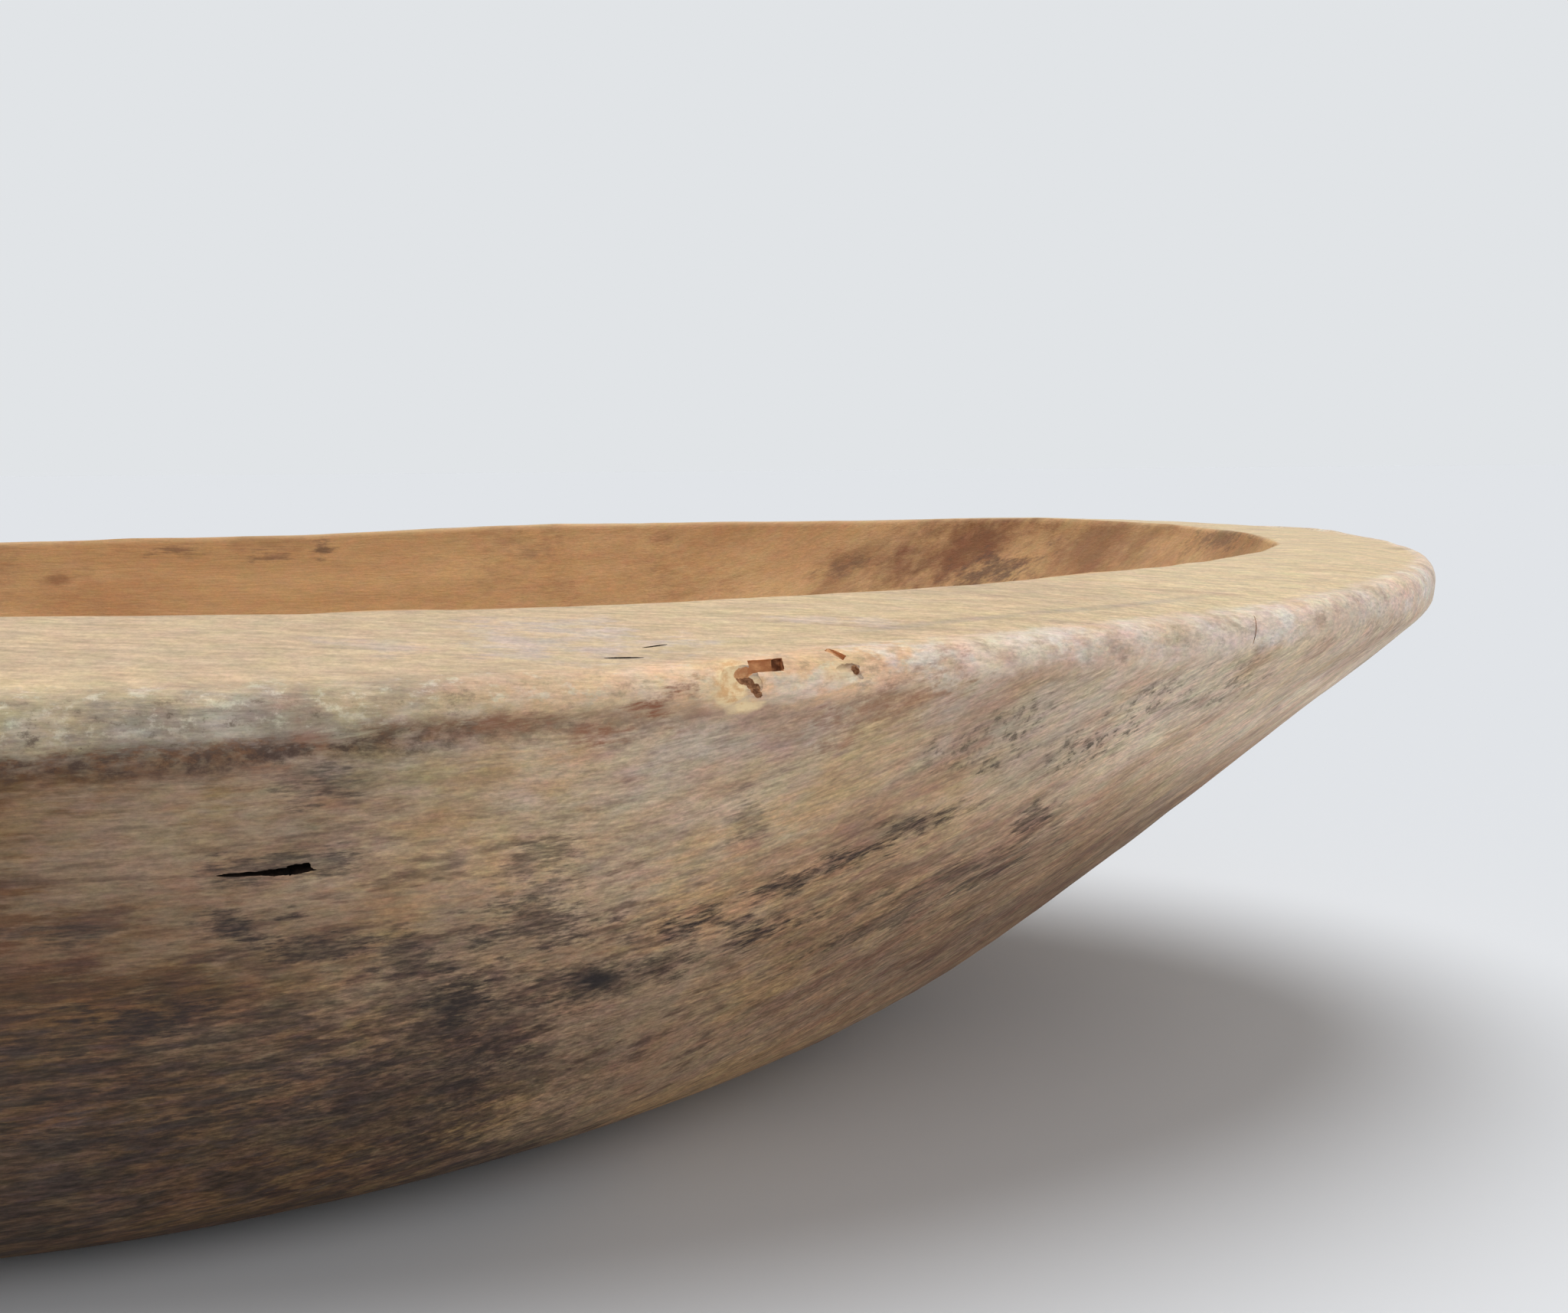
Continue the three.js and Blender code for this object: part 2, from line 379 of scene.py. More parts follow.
def close_foot():
    """The flat of the foot: two rings drawn in from its edge, then a point."""
    bpy.ops.mesh.select_all(action="DESELECT")
    bpy.ops.mesh.select_non_manifold(
        extend=False, use_wire=False, use_boundary=True, use_multi_face=False, use_non_contiguous=False,
        use_verts=False,
    )
    for shrink in FOOT_RINGS:
        bpy.ops.mesh.extrude_region()
        bpy.ops.transform.resize(value=(shrink, shrink, 1), center_override=(0, 0, 0))
    bpy.ops.mesh.merge(type="CENTER")


def weigh(bowl, name, weight):
    """A vertex group with a weight worked out from each point's place and zone."""
    group = bowl.vertex_groups.new(name=name)
    below = [a.value for a in bowl.data.attributes["below"].data]
    hollow = [a.value for a in bowl.data.attributes["hollow"].data]
    shares = [weight(v.co, below[v.index], hollow[v.index]) for v in bowl.data.vertices]
    for index, share in enumerate(shares):
        if share > 0:
            group.add([index], share, "REPLACE")
    return group.name


def roughen(piece, name, strength, scale, stretch=(1, 1, 1), group=""):
    """Pushes the surface in and out by a cloud pattern, drawn out along each axis by the stretch."""
    bpy.ops.object.empty_add()
    axes = bpy.context.object
    axes.scale = stretch
    bpy.context.view_layer.update()
    pattern = bpy.data.textures.new(name, "CLOUDS")
    pattern.noise_scale = scale
    pattern.noise_depth = 2
    push = piece.modifiers.new(name, "DISPLACE")
    push.texture = pattern
    push.texture_coords = "OBJECT"
    push.texture_coords_object = axes
    push.strength = strength
    push.mid_level = 0.5
    push.vertex_group = group
    apply_modifier(piece, push)
    bpy.data.objects.remove(axes)


def make_active(piece):
    """Selects one piece and nothing else."""
    bpy.ops.object.select_all(action="DESELECT")
    bpy.context.view_layer.objects.active = piece
    piece.select_set(True)


def apply_modifier(piece, modifier):
    make_active(piece)
    bpy.ops.object.modifier_apply(modifier=modifier.name)


def hew(bowl):
    """Unevenness left by adze and gouge: long shallow facets outside, shorter scoops in the hollow."""
    def on_wall(co, below, hollow):
        return smooth(FOOT_SPARED, ADZE_FULL, co.z) * (1 - hollow) if below > 0 else 0

    outside = weigh(bowl, "outside", on_wall)
    scooped = weigh(bowl, "scooped", lambda co, below, hollow: hollow)
    whole = weigh(bowl, "whole", lambda co, below, hollow: smooth(FOOT_SPARED, WEAR_FULL, co.z))
    roughen(bowl, "adze", *ADZE, outside)
    roughen(bowl, "gouge", *GOUGE, scooped)
    roughen(bowl, "wear", *WEAR, whole)


# Tears, check and cracks
def surface_frame(place, degrees, height):
    """A frame on the surface: X round the bowl, Y up the surface, Z out of it."""
    angle = math.radians(degrees)
    nudge = 1e-3
    origin = place(angle, height)
    x = (place(angle + nudge, height) - origin).normalized()
    y = place(angle, height + nudge) - origin
    z = x.cross(y).normalized()
    y = z.cross(x)
    frame_on = Matrix((x, y, z)).transposed().to_4x4()
    frame_on.translation = origin
    return frame_on


def lip_face(angle, height):
    """The lip's rounded face by its height above the nose, as a share of the nose's depth."""
    return over_lip(angle, math.asin(min(max(height, -1), 1)) * 2 / math.pi)


# Where the cuts stand: surface, degrees round the bowl, height on that surface
SPOTS = {
    "tear": (lip_face, -60.3, 0.32),
    "small_tear": (lip_face, -56.7, 0.7),
    "lip_crack": (lip_face, -39.4, 0.3),
    "check": (wall_point, -72.9, 0.792),
    "rim": (rim_point, -62.3, 0.12),
}
# Shape, size in mm, spot, offset in mm, tilt in degrees, raggedness in mm, its grit in mm, finish
CUTS = [
    ("round", (6.0, 7.6, 1.5), "tear", (0.0, -1.2, 0), 8, 0.34, 0.9, "worn"),
    ("square", (4.9, 1.9, 2.4), "tear", (3.9, 1.6, -0.8), -1.5, 0.12, 0.6, "bed"),
    ("square", (1.2, 1.7, 2.6), "tear", (5.85, 1.7, -0.8), -1.5, 0.14, 0.5, "dark_bed"),
    ("round", (2.8, 1.7, 2.2), "tear", (0.6, 0.8, -0.3), 14, 0.36, 0.45, "bed"),
    ("round", (3.0, 1.2, 2.8), "tear", (0.7, -0.2, 0), -16, 0.5, 0.45, "dark_bed"),
    ("round", (2.6, 1.3, 2.6), "tear", (1.8, -1.1, 0), -42, 0.55, 0.45, "dark_bed"),
    ("round", (2.7, 1.1, 2.2), "tear", (2.2, -2.1, -0.1), -46, 0.5, 0.45, "dark_bed"),
    ("square", (3.0, 0.95, 1.1), "small_tear", (-1.9, 0.9, 0.05), -46, 0.16, 0.4, "bed"),
    ("round", (4.0, 3.0, 0.6), "small_tear", (-0.6, -2.2, 0), -14, 0.2, 0.5, "worn"),
    ("round", (1.1, 1.7, 2.0), "small_tear", (0.4, -2.0, 0), 24, 0.24, 0.4, "dark_bed"),
    ("round", (0.8, 1.8, 1.2), "small_tear", (1.3, -3.1, -0.5), 52, 0.16, 0.4, "worn"),
    ("round", (0.19, 6.4, 2.2), "lip_crack", (3.7, -0.4, -0.4), -16, 0.05, 0.6, "dark_bed"),
    # The check and the two rim cracks take the near-black finish: painted shade in their deep insides.
    ("round", (12.8, 0.75, 8.0), "check", (2.0, -0.2, 0), -3, 0.26, 0.7, "dark"),
    ("round", (7.4, 1.15, 8.4), "check", (4.3, -0.3, 0), -1, 0.5, 0.8, "dark"),
    ("square", (3.0, 1.5, 8.8), "check", (6.2, -0.1, 0), 7, 0.5, 0.7, "dark"),
    ("round", (5.6, 0.42, 2.2), "rim", (-5.9, -0.2, 0), -8, 0.08, 0.5, "dark"),
    ("round", (3.8, 0.36, 1.8), "rim", (-1.0, 2.6, 0), 8, 0.07, 0.5, "dark"),
]


def lump(kind, size, spot, offset, tilt, raggedness, grit, finish):
    """A ragged cutter that stands on a surface frame, turned about the frame's outward axis."""
    bpy.ops.object.select_all(action="DESELECT")
    if kind == "round":
        bpy.ops.mesh.primitive_ico_sphere_add(subdivisions=BALL_DETAIL, radius=0.5)
    else:
        bpy.ops.mesh.primitive_cube_add(size=1)
    cutter = bpy.context.object
    bpy.ops.object.mode_set(mode="EDIT")
    bpy.ops.mesh.select_all(action="SELECT")
    if kind == "square":
        bpy.ops.mesh.subdivide(number_cuts=CUBE_CUTS)
    bpy.ops.transform.resize(value=[s * MM for s in size], center_override=(0, 0, 0))
    bpy.ops.object.mode_set(mode="OBJECT")
    roughen(cutter, "crumble", raggedness * MM, grit * MM)
    cutter.data.materials.append(finish)
    shift = Matrix.Translation([o * MM for o in offset])
    cutter.data.transform(spot @ shift @ Matrix.Rotation(math.radians(tilt), 4, "Z"))
    return cutter


def cut_away(bowl, cutter):
    """Takes the cutter out of the bowl. The cut keeps the cutter's finish."""
    cut = bowl.modifiers.new("cut", "BOOLEAN")
    cut.operation = "DIFFERENCE"
    cut.solver = "EXACT"
    cut.material_mode = "TRANSFER"
    cut.object = cutter
    apply_modifier(bowl, cut)
    bpy.data.objects.remove(cutter)


def damage(bowl, finishes):
    """Two torn places and a fine crack on the front lip, the drying check in the wall, two cracks in the rim."""
    spots = {name: surface_frame(*where) for name, where in SPOTS.items()}
    cutters = [
        lump(kind, size, spots[spot], offset, tilt, raggedness, grit, finishes[finish])
        for kind, size, spot, offset, tilt, raggedness, grit, finish in CUTS
    ]
    for cutter in cutters:
        cut_away(bowl, cutter)
    note_cut_edges(bowl)


def note_cut_edges(bowl):
    """Works out how far below the rim the new points along the cuts lie."""
    past_lip = LIP_ROUND * 1.2
    hewn = bowl.data.attributes["hewn"].data
    below = bowl.data.attributes["below"].data
    under = bowl.data.attributes["under_step"].data
    for v in bowl.data.vertices:
        if hewn[v.index].value < 1:
            angle = math.atan2(v.co.y / HALF_WIDTH, v.co.x / HALF_LENGTH)
            top = edge_height(angle)
            on_rim = (v.co.xy - outline(angle, 0)).length > past_lip and v.co.z > top - LIP_ROUND
            below[v.index].value = -LIP_ROUND if on_rim else max(top - v.co.z, 0)
            under[v.index].value = below[v.index].value - step_depth(angle)


# Node helpers
VECTOR, FLOAT, COLOUR = "NodeSocketVector", "NodeSocketFloat", "NodeSocketColor"


def tone(red, green, blue):
    """A colour given as it looks on screen, 0 to 255, in the linear values that shaders take."""
    def linear(c):
        c /= 255
        return c / 12.92 if c <= 0.04045 else ((c + 0.055) / 1.055) ** 2.4
    return (linear(red), linear(green), linear(blue), 1.0)


class Nodes:
    """Adds nodes to a tree: each call links what it is given and hands back the new node's output."""

    def __init__(self, tree):
        self.tree = tree

    def add(self, kind, inputs=None, out=0, **settings):
        node = self.tree.nodes.new(kind)
        for name, value in settings.items():
            setattr(node, name, value)
        for key, value in (inputs or {}).items():
            self.feed(node.inputs[key], value)
        return node.outputs[out]

    def feed(self, socket, value):
        if isinstance(value, bpy.types.NodeSocket):
            self.tree.links.new(value, socket)
        else:
            socket.default_value = value

    def group(self, tree, inputs):
        """A node group's outputs, by name."""
        return self.add("ShaderNodeGroup", inputs, node_tree=tree).node.outputs

    def math(self, operation, a, b=0.0):
        return self.add("ShaderNodeMath", {0: a, 1: b}, operation=operation)

    def plus(self, *values):
        total = values[0]
        for value in values[1:]:
            total = self.math("ADD", total, value)
        return total

    def times(self, *values):
        total = values[0]
        for value in values[1:]:
            total = self.math("MULTIPLY", total, value)
        return total

    def vector(self, operation, a, b):
        return self.add("ShaderNodeVectorMath", {0: a, 1: b}, operation=operation)

    def split(self, vector):
        return self.add("ShaderNodeSeparateXYZ", {"Vector": vector}).node.outputs

    def joined(self, x, y, z):
        return self.add("ShaderNodeCombineXYZ", {"X": x, "Y": y, "Z": z})

    def rise(self, value, low, high, to_low=0.0, to_high=1.0):
        """Goes smoothly from one value to another as the input goes from low to high."""
        return self.add(
            "ShaderNodeMapRange",
            {"Value": value, "From Min": low, "From Max": high, "To Min": to_low, "To Max": to_high},
            interpolation_type="SMOOTHSTEP",
        )

    def sway(self, value, size):
        """A value from 0 to 1 turned into one that goes half of the size each way."""
        return self.times(self.math("SUBTRACT", value, 0.5), size)

    def noise(self, vector, stretch, detail, roughness, out="Fac"):
        """Cloud noise whose frequency in each direction, in turns per metre, is the stretch."""
        drawn = self.vector("MULTIPLY", vector, stretch)
        inputs = {"Vector": drawn, "Scale": 1.0, "Detail": detail, "Roughness": roughness}
        return self.add("ShaderNodeTexNoise", inputs, out=out)

    def grey(self, value):
        return self.add("ShaderNodeCombineColor", {0: value, 1: value, 2: value})

    def mix(self, share, a, b, mode="MIX"):
        return self.add("ShaderNodeMix", {0: share, 6: a, 7: b}, out=2, data_type="RGBA", blend_type=mode)

    def tinged(self, colour, clouds, size):
        """A colour times clouds of many tints, which average grey."""
        inputs = {0: clouds, 1: (size,) * 3, 2: (1 - size / 2,) * 3}
        tints = self.add("ShaderNodeVectorMath", inputs, operation="MULTIPLY_ADD")
        return self.mix(1.0, colour, tints, "MULTIPLY")

    def bump(self, height, strength, distance):
        return self.add("ShaderNodeBump", {"Height": height, "Strength": strength, "Distance": distance})


def new_group(name, inputs, outputs):
    """An empty node group with named sockets: its tree, its nodes, what it is given and its result."""
    tree = bpy.data.node_groups.new(name, "ShaderNodeTree")
    for sockets, way in ((inputs, "INPUT"), (outputs, "OUTPUT")):
        for socket, kind in sockets.items():
            tree.interface.new_socket(socket, in_out=way, socket_type=kind)
    given = tree.nodes.new("NodeGroupInput").outputs
    result = tree.nodes.new("NodeGroupOutput").inputs
    return tree, Nodes(tree), given, result


# The grain runs level along the middle and is swept up to the ends
GRAIN_LEVEL = 118 * MM
GRAIN_TURN = 60 * MM
GRAIN_SWEEP = 0.4


def swept(x, y, z):
    """A place with the sweep of the grain taken out, so that the fibres run straight along X."""
    far = max(abs(x) - GRAIN_LEVEL, 0)
    return (x, y, z - GRAIN_SWEEP * (math.hypot(far, GRAIN_TURN) - GRAIN_TURN))


def sweep_group():
    """The same as nodes, for every point of a surface."""
    tree, n, given, result = new_group("sweep", {"Vector": VECTOR}, {"Vector": VECTOR})
    parts = n.split(given["Vector"])
    far = n.math("MAXIMUM", n.math("SUBTRACT", n.math("ABSOLUTE", parts["X"]), GRAIN_LEVEL), 0.0)
    slant = n.math("SQRT", n.plus(n.times(far, far), GRAIN_TURN**2))
    lift = n.times(n.math("SUBTRACT", slant, GRAIN_TURN), GRAIN_SWEEP)
    n.feed(result["Vector"], n.joined(parts["X"], parts["Y"], n.math("SUBTRACT", parts["Z"], lift)))
    return tree


def grain_group():
    """The wood's own pattern, in every direction through the block, with the fibres along X."""
    outputs = {"Fibres": FLOAT, "Grit": FLOAT, "Ragged": FLOAT, "Lumps": FLOAT, "Tinge": COLOUR}
    tree, n, given, result = new_group("grain", {"Vector": VECTOR}, outputs)
    place = given["Vector"]
    n.feed(result["Fibres"], n.noise(place, (110, 1500, 1900), 4, 0.68))
    n.feed(result["Grit"], n.noise(place, (1000, 1800, 2100), 3, 0.7))
    n.feed(result["Ragged"], n.noise(place, (105, 560, 700), 5, 0.7))
    n.feed(result["Lumps"], n.noise(place, (110, 170, 190), 5, 0.62))
    n.feed(result["Tinge"], n.noise(place, (190, 330, 360), 5, 0.7, "Color"))
    return tree


def patch_group():
    """Soft patches drawn out along the grain, with an edge that frays along the fibres."""
    inputs = {
        "Vector": VECTOR, "Along": FLOAT, "Across": FLOAT, "Seed": FLOAT,
        "Ragged": FLOAT, "Fray": FLOAT, "Low": FLOAT, "High": FLOAT,
    }
    tree, n, given, result = new_group("patch", inputs, {"Mask": FLOAT})
    seed = n.joined(given["Seed"], given["Seed"], given["Seed"])
    stretch = n.joined(given["Along"], given["Across"], given["Across"])
    cloud = n.noise(n.vector("ADD", given["Vector"], seed), stretch, 4, 0.58)
    fray = n.sway(given["Ragged"], given["Fray"])
    n.feed(result["Mask"], n.rise(n.plus(cloud, fray), given["Low"], given["High"]))
    return tree


def stain_group():
    """A stain round a centre, with a soft edge that is moved in and out by what it is given."""
    inputs = {"Vector": VECTOR, "Centre": VECTOR, "Reach": VECTOR, "Edge": FLOAT, "Softness": FLOAT}
    tree, n, given, result = new_group("stain", inputs, {"Mask": FLOAT})
    gap = n.vector("DIVIDE", n.vector("SUBTRACT", given["Vector"], given["Centre"]), given["Reach"])
    spread = n.add("ShaderNodeVectorMath", {0: gap}, out="Value", operation="LENGTH")
    inner = n.math("SUBTRACT", 1.0, given["Softness"])
    n.feed(result["Mask"], n.rise(n.plus(spread, given["Edge"]), 1.0, inner))
    return tree


# Marks that have their own place, in mm: x, y, z, half length, half height, then strength and softness.
MARK_DEPTH = 45 * MM
DARK_STAINS = [
    (123, -108, 46.5, 7.0, 4.2, 0.8, 0.8),  # round the knot
    (124, -107, 46.5, 16.0, 6.0, 0.62, 0.9),
    (134, -104, 47.4, 10.0, 1.8, 0.75, 0.75),  # its tail
    (112, -108, 44.5, 9.0, 1.8, 0.65, 0.6),
    (152, -104, 60.0, 9.0, 3.0, 0.9, 1.0),  # streaks that rise towards the end
    (162, -101, 63.4, 10.5, 3.0, 0.95, 1.0),
    (174, -99, 68.0, 10.5, 2.6, 0.9, 1.0),
    (140, -105, 54.0, 8.5, 3.8, 0.95, 1.0),
    (149, -100, 50.7, 9.5, 2.9, 0.95, 1.0),
    (182, -84, 56.0, 16.0, 4.0, 0.5, 0.8),
    (168, -83, 47.0, 15.0, 2.6, 0.5, 0.7),
    (114.5, -116, 57.8, 12.0, 4.6, 0.7, 0.7),
    (117, -120, 67.5, 6.5, 5.0, 0.55, 0.8),
    (64, -124, 48.3, 11.0, 3.8, 0.9, 0.75),  # dark blots of the lower wall
    (53, -125, 46.0, 9.0, 2.4, 0.65, 0.6),
    (50, -130, 63.0, 8.0, 3.0, 0.65, 0.7),
    (103, -106, 29.0, 5.5, 7.0, 0.65, 0.8),
    (45, -122, 38.0, 18.0, 2.2, 0.6, 0.7),
    (62, -118, 30.0, 24.0, 2.4, 0.6, 0.7),
    (90, -113, 36.0, 14.0, 2.0, 0.6, 0.7),
    (77, -126, 62.0, 6.0, 3.4, 0.9, 0.75),  # wedge-shaped marks
    (86, -123, 57.5, 8.0, 2.8, 0.8, 0.6),
    (98, -119, 54.5, 6.5, 5.0, 0.7, 0.7),
    (104, -113, 45.5, 6.5, 5.0, 0.9, 0.7),
    (106, -108, 36.0, 7.0, 5.0, 0.75, 0.7),
    (91, -131, 82.7, 6.5, 3.0, 0.65, 0.8),
    (147, -113, 73.0, 3.0, 5.0, 0.4, 0.8),
    (194, -86, 65.0, 4.5, 3.4, 0.75, 0.6),
    (188, -79, 54.0, 10.0, 2.0, 0.65, 0.6),
    (84, -128, 71.0, 13.0, 3.0, 0.75, 0.9),  # dirt round the check
]
DARK_SPOTS = [
    (123.6, -108, 46.6, 4.6, 3.8, 1.0, 1.0),  # knot
    (104, -113, 44.5, 6.0, 5.0, 0.35, 1.0),
    (98.5, -119, 55.0, 4.0, 5.0, 0.25, 1.0),
    (64, -124, 48.0, 7.0, 4.0, 0.4, 1.0),
    (77.5, -126, 62.0, 3.6, 3.2, 0.6, 1.0),
]
SPECKLED = [
    (190, -102, 83.0, 11.0, 6.0, 0.85, 1.0),
    (202, -93, 79.0, 11.0, 5.5, 0.9, 1.0),
    (212, -91, 85.0, 11.0, 5.5, 0.8, 1.0),
    (178, -106, 80.5, 8.0, 5.0, 0.7, 1.0),
    (226, -83, 86.0, 9.0, 4.5, 0.6, 1.0),
]
PALE_TEARS = [
    (144.3, -122, 95.2, 2.1, 2.6, 1.0, 0.8),
    (144.6, -122, 92.4, 2.3, 2.2, 1.0, 0.8),
    (146.0, -121.6, 90.6, 3.0, 1.6, 1.0, 0.8),
    (148.2, -120.4, 94.2, 2.0, 1.3, 0.7, 0.9),
    (160.0, -116, 95.0, 3.4, 2.2, 0.6, 1.0),
]
RUST_STAINS = [
    (134, -124, 91.0, 6.0, 5.0, 1.0, 0.9),
    (130, -125, 88.0, 8.0, 3.0, 0.8, 0.9),
    (114, -128, 90.0, 7.0, 1.8, 0.5, 0.8),
    (90, -131, 89.0, 4.0, 2.0, 0.5, 1.0),
    (84, -131, 85.5, 4.0, 1.4, 0.5, 0.8),
    (166, -114, 90.0, 15.0, 6.0, 0.6, 0.9),
]
RIM_STAINS = [
    (122, -115, 99, 20.0, 8.0, 0.65, 1.0),
    (96, -119, 99, 12.0, 2.6, 0.4, 1.0),
    (158, -104, 100, 14.0, 2.0, 0.45, 1.0),
]
HOLLOW_STAINS = [
    (27, 114, 99.5, 5.0, 4.0, 0.75, 1.0),
    (15, 114, 97.5, 8.0, 2.6, 0.6, 1.0),
    (-14, 114, 99.5, 9.0, 2.0, 0.6, 1.0),
    (88, 108, 99.0, 7.0, 3.0, 0.35, 1.0),
    (176, 78, 95.0, 8.0, 3.0, 0.5, 1.0),
    (214, 56, 96.0, 12.0, 5.0, 0.8, 1.0),
    (258, 16, 106.0, 7.0, 3.0, 0.6, 1.0),
]
# Rusty stains in the hollow. The three large marks from 180 to 238 mm along X are painted shade, where the end
# wall turns away from the light.
HOLLOW_RUST_AND_SHADE = [
    (-46, 112, 92.0, 5.0, 2.4, 0.6, 1.0),
    (205, 62, 101.0, 30.0, 12.0, 1.0, 0.9),
    (238, 40, 103.0, 22.0, 12.0, 0.6, 1.0),
    (180, 78, 97.0, 20.0, 7.0, 0.5, 1.0),
    (128, 97, 103.0, 6.0, 3.0, 0.5, 1.0),
]

# The trail of dirt along the rim: its oval as a share of the outline, and how near it begins and is full
TRAIL_RING = 0.9445
TRAIL_FADES = (0.007, 0.001)

# Sheen, range of roughness, and the strength and depth of the fine relief
AGED_SHEEN = 0.3
AGED_ROUGHNESS = (0.62, 0.74)
AGED_RELIEF = (0.5, 0.25 * MM)
BARE_SHEEN = 0.2
BARE_ROUGHNESS = (0.75, 0.9)
BARE_RELIEF = (0.6, 0.3 * MM)


# Finishes
def new_material(name):
    """A material and the inputs of its shader."""
    material = bpy.data.materials.new(name)
    material.use_nodes = True
    return material, material.node_tree.nodes["Principled BSDF"].inputs


class AgedWood(Nodes):
    """The nodes of the aged wood, with the places and patterns that its zones share."""

    def __init__(self, tree, sweep, grain, patch, stain):
        super().__init__(tree)
        self.patch = patch
        self.stain = stain
        self.place = self.add("ShaderNodeTexCoord", out="Object")
        self.drawn = self.group(sweep, {"Vector": self.place})["Vector"]
        self.flank = self.group(grain, {"Vector": self.drawn})
        self.level = self.group(grain, {"Vector": self.place})
        self.parts = self.split(self.place)
        self.far = self.math("ABSOLUTE", self.parts["X"])
        self.mottle = self.noise(self.place, (270, 400, 400), 6, 0.74)
        self.lumpy = self.sway(self.level["Lumps"], 3.0)
        self.edge = self.plus(
            self.sway(self.flank["Lumps"], 3.0),
            self.sway(self.flank["Ragged"], 2.6),
            self.sway(self.flank["Fibres"], 1.4),
        )

    def noted(self, name):
        """A measure that the carving noted at each point."""
        return self.add("ShaderNodeAttribute", out="Fac", attribute_name=name)

    def outward(self, low, high, *to):
        """Changes with the distance along the bowl from its middle, in mm."""
        return self.rise(self.far, low * MM, high * MM, *to)

    def upward(self, low, high, *to):
        """Changes with the height above the table, in mm."""
        return self.rise(self.parts["Z"], low * MM, high * MM, *to)

    def patches(self, along, across, seed, low, high, fray=0.3, straight=False):
        """Patches by turns per metre, seed, the noise at which they begin and are full, and fraying."""
        pattern = self.level if straight else self.flank
        inputs = {
            "Vector": self.place if straight else self.drawn, "Along": along, "Across": across, "Seed": seed,
            "Ragged": pattern["Ragged"], "Fray": fray, "Low": low, "High": high,
        }
        return self.group(self.patch, inputs)["Mask"]

    def marks(self, spots, place, edge, lying=False):
        """The strongest of a list of marks at each place, on an upright or on a lying surface."""
        total = 0.0
        for x, y, z, half_length, half_height, strength, softness in spots:
            centre = (x * MM, y * MM, z * MM)
            across = (half_height * MM, MARK_DEPTH) if lying else (MARK_DEPTH, half_height * MM)
            inputs = {
                "Vector": place, "Centre": centre if lying else swept(*centre),
                "Reach": (half_length * MM, *across), "Edge": edge, "Softness": softness,
            }
            mask = self.group(self.stain, inputs)["Mask"]
            total = self.math("MAXIMUM", total, self.times(mask, strength))
        return total

    def fibrous(self, colour, pattern, tints, strength):
        """A colour broken up by tints, fibres and pores."""
        fibre = self.rise(pattern["Fibres"], 0.28, 0.72, 1 - 0.22 * strength, 1 + 0.2 * strength)
        frayed = self.rise(pattern["Ragged"], 0.32, 0.68, 1 - 0.13 * strength, 1 + 0.12 * strength)
        pore = self.rise(pattern["Grit"], 0.3, 0.7, 1 - 0.14 * strength, 1 + 0.13 * strength)
        broken = self.grey(self.times(fibre, frayed, pore))
        return self.mix(1.0, self.tinged(colour, pattern["Tinge"], tints), broken, "MULTIPLY")


def clean_wall(n):
    """The outside wall: paler towards the lip and the ends, with patches of honey, grey, russet and olive."""
    wall = n.mix(n.upward(38, 88), tone(181, 152, 122), tone(208, 182, 152))
    pale_end = n.times(n.outward(186, 218), n.upward(66, 80))
    wall = n.mix(pale_end, wall, tone(244, 220, 192))
    honey = n.times(n.patches(22, 44, 1.3, 0.42, 0.6), n.outward(140, 200, 0.8, 0.25))
    wall = n.mix(honey, wall, tone(200, 163, 116))
    bloom = n.times(
        n.patches(24, 46, 5.1, 0.4, 0.58),
        n.upward(60, 88, 0.05, 0.9),
        n.outward(60, 110, 0.3, 1.0),
        n.outward(180, 210, 1.0, 0.5),
    )
    wall = n.mix(bloom, wall, tone(195, 177, 160))
    russet = n.times(n.patches(40, 78, 9.7, 0.48, 0.64), 0.5)
    wall = n.mix(russet, wall, tone(176, 132, 104))
    olive = n.times(n.patches(44, 70, 3.3, 0.44, 0.6), n.upward(68, 86), n.outward(140, 100, 0.15, 0.6))
    return n.mix(olive, wall, tone(172, 150, 98))


